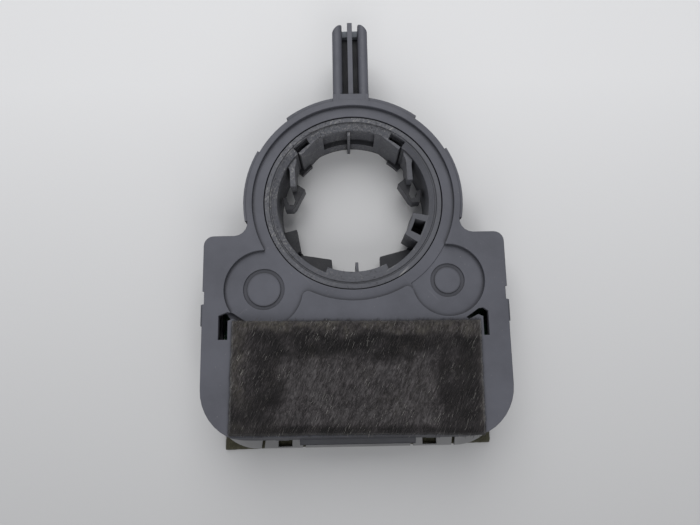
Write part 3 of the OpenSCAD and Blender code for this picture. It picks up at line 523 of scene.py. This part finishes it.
class SENSOR_OT_case(bpy.types.Operator):
    """Finish the front shell and the rear cover"""

    bl_idname = "sensor.case"
    bl_label = "Case"

    def execute(self, context):
        plastic = context.scene.sensor_plastic
        grooves = []
        for side, radius in (("left", 6.3 * MM), ("right", 5.2 * MM)):
            low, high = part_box(side + "_measuring_gear")
            grooves.append((((low.x + high.x) / 2, (low.y + high.y) / 2, high.z), radius, 1.2 * MM))
        # Painted shade on the case: low up-facing faces, rings in the gear grooves and the bottom edge
        front = moulded_plastic("case_plastic", plastic.case_colour, plastic, dust=0.5, scuffs=0.15,
                                shade_height=0.0135, grooves=grooves, lip_shade_y=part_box("front_housing")[0].y + 2.9 * MM)
        dress("front_housing", front)
        rear = moulded_plastic("cover_plastic", plastic.cover_colour, plastic, dust=0.3, scuffs=0.3)
        dress("rear_cover", rear)
        return {"FINISHED"}


class SENSOR_OT_finger_web(bpy.types.Operator):
    """Carry the web between the finger's rails on towards the tip"""

    bl_idname = "sensor.finger_web"
    bl_label = "Finger web"

    def execute(self, context):
        low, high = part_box("front_housing")
        centre_x = (low.x + high.x) / 2
        work = bmesh.new()
        for side in (-1, 1):
            middle = centre_x + side * SLOT_PLACE
            add_block(work, (middle - SLOT_WIDTH / 2, high.y - WEB_BACK[1], high.z - WEB_DEPTH[1]),
                      (middle + SLOT_WIDTH / 2, high.y - WEB_BACK[0], high.z - WEB_DEPTH[0]), 0, 0.05 * MM)
        mesh = bpy.data.meshes.new("finger_web")
        work.to_mesh(mesh)
        work.free()
        web = new_piece("finger_web", mesh, [bpy.data.materials["case_plastic"]])
        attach(web, "case")
        return {"FINISHED"}


class SENSOR_OT_rotor(bpy.types.Operator):
    """Finish the rotor with its rubbed rim"""

    bl_idname = "sensor.rotor"
    bl_label = "Rotor"

    def execute(self, context):
        plastic = context.scene.sensor_plastic
        # Painted shade on the rotor's low up-facing faces in the bore
        dress("rotor", moulded_plastic("rotor_plastic", plastic.rotor_colour, plastic, rub=(0.0175, 0.0278),
                                       dust=0.8, scuffs=0.9, shade_height=0.0105))
        return {"FINISHED"}


class SENSOR_OT_gears(bpy.types.Operator):
    """Finish the measuring gears and their magnets"""

    bl_idname = "sensor.gears"
    bl_label = "Gears and magnets"

    def execute(self, context):
        inside = context.scene.sensor_inside
        acetal, magnet = acetal_finish(inside.acetal), magnet_finish(inside.magnet)
        for side in ("left", "right"):
            dress(side + "_measuring_gear", acetal)
            dress(side + "_gear_magnet", magnet)
        return {"FINISHED"}


class SENSOR_OT_front_felt(bpy.types.Operator):
    """Lay the worn front felt over its tray, sagging into it"""

    bl_idname = "sensor.front_felt"
    bl_label = "Front felt"

    def execute(self, context):
        felt = context.scene.sensor_felt
        centre, width, height = turned_size("front_felt_pad", FRONT_FELT_TURN)
        low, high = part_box("front_felt_pad")
        tray_z, top_z = low.z, high.z
        face_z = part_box("front_housing")[1].z
        turn = Matrix.Rotation(FRONT_FELT_TURN, 3, "Z")
        tray_x, tray_y = width / 2 - 6.9 * MM, height / 2 - 6.9 * MM

        def shape(u, v):
            x, y = (u - 0.5) * width, (v - 0.5) * height
            side = min(width / 2 - abs(x), height / 2 - abs(y))
            # Ragged edge, a little inside the pad's outline
            fray = 0.35 * MM * (0.5 + 0.5 * lumps(x, y, 900, felt.seed)) + 0.25 * MM * (0.5 + 0.5 * lumps(x, y, 260, 3))
            pull = 1 - fray * ramp(side, 0.9 * MM, 0) / max(abs(x), abs(y), 1 * MM)
            wobble = 2.2 * MM * lumps(x, y, 110, 31)
            sink_x = ramp(abs(x - 0.6 * MM) + wobble, width / 2 - 6 * MM, width / 2 - 15 * MM)
            sink_y = ramp(y + wobble, height / 2 - 5 * MM, height / 2 - 12 * MM)
            sink = sink_x * sink_y
            rise = ramp(-y, height / 2 - 10.5 * MM, height / 2 - 5.5 * MM)
            z = top_z - felt.sag * sink * (1 - 0.8 * rise)
            z -= 0.75 * MM * ramp(side, 1.1 * MM, 0)
            rough = 0.16 * MM * lumps(x, y, 170, felt.seed) + 0.10 * MM * lumps(x, y, 420, felt.seed + 1)
            rough += 0.07 * MM * lumps(x * 1.0, y * 0.5, 1300, felt.seed + 2)
            z += rough - 0.12 * MM
            in_tray = abs(x) < tray_x and abs(y) < tray_y
            ground = face_z + 0.03 * MM
            if in_tray:
                depth = min(tray_x - abs(x), tray_y - abs(y))
                ground = face_z + 0.03 * MM - (face_z - tray_z) * 0.9 * ramp(depth, 0, 2.5 * MM)
            z = min(top_z - 0.02 * MM, max(z, ground + 0.30 * MM))
            spot = turn @ Vector((x * pull, y * pull, 0)) + Vector((centre.x, centre.y, 0))
            north, south = (height / 2 - y) / MM, (height / 2 + y) / MM
            west, east = (width / 2 + x) / MM, (width / 2 - x) / MM
            stray = 2.5 * lumps(x, y, 140, 33) + 1.2 * lumps(x, y, 420, 36)
            # Painted shade: dark bands on the slopes down into the tray, along the sides and on the curled south edge
            band = ramp(north + stray, 3, 5.5) * ramp(north + stray, 12, 9)
            band *= ramp(west, 4, 9)
            left = 0.7 * ramp(west + stray, 6, 10) * ramp(west + stray, 17, 13) * ramp(north, 2, 6)
            low_left = 0.7 * ramp(west + stray, 16, 10) * ramp(north, 18, 23)
            right = 0.85 * ramp(east + stray, 15, 10) * ramp(north + stray, 7, 13) * ramp(east, 0.5, 2.5)
            low = ramp(south, 3.6, 1.8)
            dark = max(band, left, low_left, right, low) * (0.85 + 0.8 * lumps(x, y, 230, 34))
            floor = ramp(west + stray, 11, 16) * ramp(east + stray, 11, 16) * ramp(north + stray, 8, 12)
            edge = max(ramp(north + stray, 6, 2), ramp(west + stray, 9, 2), 0.8 * ramp(east, 3, 0.5))
            fact = {"worn": max(0.0, min(1.0, edge * (0.65 + 0.9 * lumps(x, y, 300, 9)))),
                    "hollow": max(0.0, min(1.0, dark)),
                    "rubbed": floor * ramp(south, 2.5, 4.5) * (0.75 + 0.6 * lumps(x, y, 260, 37))}
            return (spot.x, spot.y, z), (spot.x, spot.y, ground), fact

        finish = felt_finish("front_felt", felt, felt.dark, felt.light, felt.worn)
        pad = closed_sheet("front_felt", 240, 110, shape, [finish])
        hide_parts("front_felt_pad")
        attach(pad, "case")
        return {"FINISHED"}


class SENSOR_OT_rear_felt(bpy.types.Operator):
    """Lay the olive rear felt under the cover"""

    bl_idname = "sensor.rear_felt"
    bl_label = "Rear felt"

    def execute(self, context):
        felt = context.scene.sensor_felt
        centre, width, height = turned_size("rear_felt_pad", REAR_FELT_TURN)
        low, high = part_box("rear_felt_pad")
        turn = Matrix.Rotation(REAR_FELT_TURN, 3, "Z")

        def shape(u, v):
            x, y = (u - 0.5) * width, (v - 0.5) * height
            side = min(width / 2 - abs(x), height / 2 - abs(y))
            fray = 0.4 * MM * (0.5 + 0.5 * lumps(x, y, 800, 21)) + 0.3 * MM * (0.5 + 0.5 * lumps(x, y, 240, 22))
            pull = 1 - fray * ramp(side, 0.9 * MM, 0) / max(abs(x), abs(y), 1 * MM)
            spot = turn @ Vector((x * pull, y * pull, 0)) + Vector((centre.x, centre.y, 0))
            rough = 0.06 * MM * (lumps(x, y, 300, 23) + lumps(x, y, 900, 24))
            z = high.z - 0.1 * MM - 0.3 * MM * ramp(side, 0.8 * MM, 0) + rough
            ground = low.z + 0.15 * MM * ramp(side, 0.8 * MM, 0) + 0.05 * MM * abs(lumps(x, y, 700, 25))
            fact = {"worn": 0.5, "hollow": 0.0, "rubbed": 0.0}
            return (spot.x, spot.y, min(z, high.z)), (spot.x, spot.y, ground), fact

        brown = [c * 0.7 for c in felt.olive]
        finish = felt_finish("rear_felt", felt, brown, felt.olive, [c * 1.5 for c in felt.olive])
        pad = closed_sheet("rear_felt", 170, 76, shape, [finish])
        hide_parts("rear_felt_pad")
        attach(pad, "case")
        return {"FINISHED"}


def fibre_tree(material):
    """Geometry nodes that scatter leaning fibres over the upper side of a pad."""
    tree = bpy.data.node_groups.new("felt_fibres", "GeometryNodeTree")
    face = tree.interface
    face.new_socket("Geometry", in_out="INPUT", socket_type="NodeSocketGeometry")
    for name, kind, value in (("Density", "NodeSocketFloat", 1e6), ("Length", "NodeSocketFloat", 0.0015),
                              ("Width", "NodeSocketFloat", 0.00006), ("Lean", "NodeSocketFloat", 1.15),
                              ("Sway", "NodeSocketFloat", 0.3), ("Seed", "NodeSocketInt", 1)):
        face.new_socket(name, in_out="INPUT", socket_type=kind).default_value = value
    face.new_socket("Geometry", in_out="OUTPUT", socket_type="NodeSocketGeometry")

    def node(kind, inputs=None, **settings):
        made = tree.nodes.new(kind)
        for key, value in settings.items():
            setattr(made, key, value)
        for key, value in (inputs or {}).items():
            if isinstance(value, bpy.types.NodeSocket):
                tree.links.new(value, made.inputs[key])
            else:
                made.inputs[key].default_value = value
        return made

    def math_node(operation, a, b):
        return node("ShaderNodeMath", {0: a, 1: b}, operation=operation).outputs[0]

    given = node("NodeGroupInput").outputs
    normal = node("GeometryNodeInputNormal").outputs["Normal"]
    up = node("ShaderNodeSeparateXYZ", {"Vector": normal}).outputs["Z"]
    upper = node("FunctionNodeCompare", {0: up, 1: 0.3}, data_type="FLOAT", operation="GREATER_THAN").outputs[0]
    points = node("GeometryNodeDistributePointsOnFaces", {"Mesh": given["Geometry"], "Selection": upper,
                                                         "Density": given["Density"], "Seed": given["Seed"]})
    # One bent fibre along X, of unit length
    bend = node("GeometryNodeCurvePrimitiveBezierSegment", {"Resolution": 3, "Start": (-0.5, 0, 0),
                                                            "Start Handle": (-0.2, 0.02, 0.05),
                                                            "End Handle": (0.2, 0.02, 0.06), "End": (0.5, 0, 0.01)})
    ring = node("GeometryNodeCurvePrimitiveCircle", {"Resolution": 3, "Radius": 0.5})
    thick = math_node("DIVIDE", given["Width"], given["Length"])
    ring_small = node("GeometryNodeTransform", {"Geometry": ring.outputs["Curve"],
                                                "Scale": node("ShaderNodeCombineXYZ", {"X": thick, "Y": thick,
                                                                                       "Z": 1.0}).outputs[0]})
    fibre = node("GeometryNodeCurveToMesh", {"Curve": bend.outputs["Curve"],
                                             "Profile Curve": ring_small.outputs["Geometry"], "Fill Caps": True})
    sway = node("FunctionNodeRandomValue", {2: math_node("MULTIPLY", given["Sway"], -1.0), 3: given["Sway"],
                                            "Seed": 5}, data_type="FLOAT").outputs[1]
    rise = node("FunctionNodeRandomValue", {2: -0.28, 3: 0.05, "Seed": 6}, data_type="FLOAT").outputs[1]
    heading = math_node("ADD", given["Lean"], sway)
    turn = node("FunctionNodeEulerToRotation", {0: node("ShaderNodeCombineXYZ", {"X": 0.0, "Y": rise,
                                                                                 "Z": heading}).outputs[0]})
    size = math_node("MULTIPLY", given["Length"],
                     node("FunctionNodeRandomValue", {2: 0.45, 3: 1.5, "Seed": 8}, data_type="FLOAT").outputs[1])
    tone = node("FunctionNodeRandomValue", {2: 0.0, 3: 1.0, "Seed": 9}, data_type="FLOAT").outputs[1]
    toned = node("GeometryNodeStoreNamedAttribute", {"Geometry": points.outputs["Points"], "Name": "tone",
                                                     "Value": tone}, data_type="FLOAT", domain="POINT")
    placed = node("GeometryNodeInstanceOnPoints", {"Points": toned.outputs["Geometry"],
                                                   "Instance": fibre.outputs["Mesh"],
                                                   "Rotation": turn.outputs[0], "Scale": size})
    real = node("GeometryNodeRealizeInstances", {"Geometry": placed.outputs["Instances"]})
    done = node("GeometryNodeSetMaterial", {"Geometry": real.outputs["Geometry"], "Material": material})
    node("NodeGroupOutput", {"Geometry": done.outputs["Geometry"]})
    return tree


def scatter_fibres(name, ground, material, values, body, ceiling):
    """Scatter fibres over the mesh ground and keep the result as one plain piece, no higher than ceiling."""
    work = new_piece(name + "_ground", ground, [])
    modifier = work.modifiers.new("fibres", "NODES")
    modifier.node_group = fibre_tree(material)
    for item in modifier.node_group.interface.items_tree:
        if item.in_out == "INPUT" and item.name in values:
            modifier[item.identifier] = values[item.name]
    depsgraph = bpy.context.evaluated_depsgraph_get()
    mesh = bpy.data.meshes.new_from_object(work.evaluated_get(depsgraph), depsgraph=depsgraph)
    bpy.data.objects.remove(work)
    mesh.name = name
    if len(mesh.polygons) < 100:
        raise RuntimeError(name + " came out empty")
    for vertex in mesh.vertices:
        vertex.co.z = min(vertex.co.z, ceiling)
    piece = bpy.data.objects.new(name, mesh)
    bpy.context.scene.collection.objects.link(piece)
    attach(piece, body)
    return piece


class SENSOR_OT_felt_fibres(bpy.types.Operator):
    """Scatter loose slanted fibres over the front felt"""

    bl_idname = "sensor.felt_fibres"
    bl_label = "Felt fibres"

    def execute(self, context):
        felt = context.scene.sensor_felt
        values = {"Density": felt.fibres * 1e4, "Length": felt.fibre_length, "Width": felt.fibre_width,
                  "Lean": felt.fibre_lean, "Sway": 0.16, "Seed": felt.seed}
        scatter_fibres("felt_fibres", bpy.data.objects["front_felt"].data.copy(), fibre_finish("felt_fibre", felt),
                       values, "case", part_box("front_felt_pad")[1].z + 0.25 * MM)
        return {"FINISHED"}


class SENSOR_OT_lint(bpy.types.Operator):
    """Scatter lint from the felt over the rotor's rubbed rim"""

    bl_idname = "sensor.lint"
    bl_label = "Lint"

    def execute(self, context):
        felt = context.scene.sensor_felt
        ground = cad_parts["rotor"].data.copy()
        work = bmesh.new()
        work.from_mesh(ground)
        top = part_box("rotor")[1].z
        away = [face for face in work.faces if face.calc_center_median().z < top - 2 * MM or face.normal.z < 0.3
                or face.calc_center_median().x > 10 * MM]
        bmesh.ops.delete(work, geom=away, context="FACES")
        work.to_mesh(ground)
        work.free()
        values = {"Density": felt.lint * 1e4, "Length": 0.9 * MM, "Width": 0.05 * MM, "Lean": 0.0,
                  "Sway": math.pi / 2, "Seed": felt.seed + 1}
        scatter_fibres("rotor_lint", ground, fibre_finish("lint", felt), values, "rotor", top + 0.5 * MM)
        return {"FINISHED"}


class SENSOR_OT_board(bpy.types.Operator):
    """Finish the circuit board and what is soldered to it"""

    bl_idname = "sensor.board"
    bl_label = "Board"

    def execute(self, context):
        inside = context.scene.sensor_inside
        dress("circuit_board", board_finish(inside))
        epoxy = epoxy_finish("chip_epoxy", inside.epoxy)
        tin = tin_finish("tinned_lead", inside.tin)
        for node in ("left_field_sensor", "right_field_sensor", "controller_chip", "bus_transceiver",
                     "voltage_regulator", "surge_diode"):
            dress(node, leaded_finish(node, epoxy_tone=inside.epoxy, tin_tone=inside.tin))
        ceramic = epoxy_finish("capacitor_body", inside.tantalum)
        dress("quartz_crystal", tin)
        for name, node, body, cap in (("capacitor_parts", "chip_capacitors", ceramic, 0.45 * MM),
                                      ("resistor_parts", "chip_resistors", epoxy, 0.3 * MM),
                                      ("tantalum_parts", "supply_capacitors", ceramic, 0.7 * MM),
                                      ("choke_part", "line_choke", epoxy, 0.6 * MM)):
            piece = end_capped_parts(name, node, [body, tin], cap, 0.08 * MM)
            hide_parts(node)
            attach(piece, "case")
        return {"FINISHED"}


def leaded_finish(node, epoxy_tone, tin_tone, lead=0.9 * MM):
    """Moulded chip whose leads stand out past its body on two or four sides."""
    f = Finish(node + "_finish")
    low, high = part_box(node)
    centre = (low + high) / 2
    four_sided = abs((high.x - low.x) - (high.y - low.y)) < 0.2 * MM
    away_x = f.math("ABSOLUTE", f.math("SUBTRACT", f.part("X"), centre.x))
    metal = f.band(away_x, (high.x - low.x) / 2 - lead, (high.x - low.x) / 2 - lead + 1e-5)
    if four_sided:
        away_y = f.math("ABSOLUTE", f.math("SUBTRACT", f.part("Y"), centre.y))
        metal = f.math("MAXIMUM", metal, f.band(away_y, (high.y - low.y) / 2 - lead, (high.y - low.y) / 2 - lead + 1e-5))
    dark = f.mix(f.band(f.noise(1800, 4, 0.7), 0.3, 0.7), [c * 0.8 for c in epoxy_tone], [c * 1.6 for c in epoxy_tone])
    # Moulded dot at the first lead
    corner = f.node("ShaderNodeVectorMath", {0: f.place, 1: (low.x + 1.9 * MM, high.y - 1.0 * MM, high.z)},
                    operation="DISTANCE").outputs["Value"]
    dark = f.mix(f.band(corner, 0.42 * MM, 0.36 * MM, 0, 0.6), dark, (0.09, 0.09, 0.09))
    f.set(Base_Color=f.mix(metal, dark, tin_tone), Metallic=metal, Roughness=f.band(metal, 0, 1, 0.6, 0.3),
          Normal=f.bump(f.noise(6000, 3), 0.00002, f.rounded(0.00006)))
    return f.material


class SENSOR_OT_connector(bpy.types.Operator):
    """Finish the connector's pins and their carrier"""

    bl_idname = "sensor.connector"
    bl_label = "Connector"

    def execute(self, context):
        inside = context.scene.sensor_inside
        dress("pin_carrier", epoxy_finish("carrier_plastic", inside.epoxy))
        dress("connector_pins", tin_finish("pin_tin", inside.tin))
        return {"FINISHED"}


class SENSOR_OT_stage(bpy.types.Operator):
    """Set up the table, the lights and the camera"""

    bl_idname = "sensor.stage"
    bl_label = "Stage"

    def execute(self, context):
        stage = context.scene.sensor_stage
        scene = context.scene
        scene.view_settings.view_transform = "Standard"
        self.floor(stage)
        self.lamps(stage)
        self.sky(stage, scene)
        self.camera(stage, scene)
        return {"FINISHED"}

    def floor(self, stage):
        mesh = bpy.data.meshes.new("table")
        reach = 3.0
        mesh.from_pydata([(-reach, -reach, 0), (reach, -reach, 0), (reach, reach, 0), (-reach, reach, 0)], [],
                         [(0, 1, 2, 3)])
        f = Finish("table_top")
        mottle = f.noise(6, 3)
        # Painted light falloff: the table darkens towards the south, away from the softbox
        south = f.band(f.part("Y"), 0.05, -0.13)
        base = f.mix(f.band(mottle, 0.3, 0.7, 0, 0.25), stage.floor, [c * 0.95 for c in stage.floor])
        base = f.mix(south, base, [c * 0.62 for c in stage.floor])
        f.set(Base_Color=base, Roughness=0.75, Normal=f.bump(f.noise(1500, 3), 0.00002))
        f.shader.inputs["Specular IOR Level"].default_value = 0.2
        # Far from the part the table fades into the backdrop, for the camera and in reflections alone
        far = f.band(f.node("ShaderNodeVectorMath", {0: f.place}, operation="LENGTH").outputs["Value"], 0.40, 1.00)
        path = f.node("ShaderNodeLightPath")
        seen = f.math("MAXIMUM", path.outputs["Is Camera Ray"], path.outputs["Is Glossy Ray"])
        glow = f.node("ShaderNodeEmission", {"Color": BACKDROP})
        both = f.node("ShaderNodeMixShader", {0: f.math("MULTIPLY", far, seen), 1: f.shader.outputs["BSDF"],
                                              2: glow.outputs["Emission"]})
        f.material.node_tree.links.new(both.outputs["Shader"], f.material.node_tree.nodes["Material Output"].inputs[0])
        new_piece("table", mesh, [f.material])

    def lamps(self, stage):
        for name, place, size, power in (("softbox", (-0.05, 0.50, 0.60), 0.80, stage.lamp_power),
                                         ("front_fill", (0.05, -0.60, 0.45), 0.60, stage.lamp_power * 0.45)):
            light = bpy.data.lights.new(name, "AREA")
            light.shape, light.size, light.energy = "SQUARE", size, power
            lamp = bpy.data.objects.new(name, light)
            lamp.location = place
            aim = Vector((0, -0.01, 0)) - Vector(place)
            lamp.rotation_mode = "QUATERNION"
            lamp.rotation_quaternion = aim.to_track_quat("-Z", "Y")
            bpy.context.scene.collection.objects.link(lamp)

    def sky(self, stage, scene):
        world = bpy.data.worlds.new("room")
        world.use_nodes = True
        scene.world = world
        nodes, links = world.node_tree.nodes, world.node_tree.links
        ground = nodes["Background"]
        ground.inputs["Color"].default_value = (0.93, 0.95, 1.0, 1)
        ground.inputs["Strength"].default_value = stage.sky
        seen = nodes.new("ShaderNodeBackground")
        seen.inputs["Color"].default_value = BACKDROP
        path = nodes.new("ShaderNodeLightPath")
        mix = nodes.new("ShaderNodeMixShader")
        links.new(path.outputs["Is Camera Ray"], mix.inputs[0])
        links.new(ground.outputs[0], mix.inputs[1])
        links.new(seen.outputs[0], mix.inputs[2])
        links.new(mix.outputs[0], nodes["World Output"].inputs["Surface"])

    def camera(self, stage, scene):
        data = bpy.data.cameras.new("photo_camera")
        data.sensor_width, data.lens = 36.0, stage.lens
        data.clip_start, data.clip_end = 0.01, 20
        camera = bpy.data.objects.new("photo_camera", data)
        camera.location = stage.eye
        look = Matrix.Rotation(-stage.roll, 3, "Z") @ Matrix.Rotation(stage.tilt, 3, "X")
        camera.rotation_mode = "QUATERNION"
        camera.rotation_quaternion = look.to_quaternion()
        scene.collection.objects.link(camera)
        scene.camera = camera


class SENSOR_PT_panel(bpy.types.Panel):
    """Lists the sensor's pieces and their settings"""

    bl_label = "Steering Angle Sensor"
    bl_idname = "SENSOR_PT_panel"
    bl_space_type = "VIEW_3D"
    bl_region_type = "UI"
    bl_category = "Sensor"

    def draw(self, context):
        for operator in OPERATORS:
            self.layout.operator(operator.bl_idname)
        for name, group in SETTINGS.items():
            box = self.layout.box()
            for key in group.__annotations__:
                box.prop(getattr(context.scene, name), key)


SETTINGS = {"sensor_plastic": PlasticSettings, "sensor_felt": FeltSettings, "sensor_inside": InsideSettings,
            "sensor_stage": StageSettings}
OPERATORS = (SENSOR_OT_stage, SENSOR_OT_case, SENSOR_OT_finger_web, SENSOR_OT_rotor, SENSOR_OT_gears, SENSOR_OT_front_felt,
             SENSOR_OT_felt_fibres, SENSOR_OT_lint, SENSOR_OT_rear_felt, SENSOR_OT_board, SENSOR_OT_connector)


def register():
    for group in SETTINGS.values():
        bpy.utils.register_class(group)
    for name, group in SETTINGS.items():
        setattr(bpy.types.Scene, name, PointerProperty(type=group))
    for operator in OPERATORS:
        bpy.utils.register_class(operator)
    bpy.utils.register_class(SENSOR_PT_panel)


def unregister():
    bpy.utils.unregister_class(SENSOR_PT_panel)
    for operator in reversed(OPERATORS):
        bpy.utils.unregister_class(operator)
    for name, group in reversed(SETTINGS.items()):
        delattr(bpy.types.Scene, name)
        bpy.utils.unregister_class(group)


def main():
    register()
    for operator in OPERATORS:
        group, name = operator.bl_idname.split(".")
        getattr(getattr(bpy.ops, group), name)()


if __name__ == "__main__":
    main()
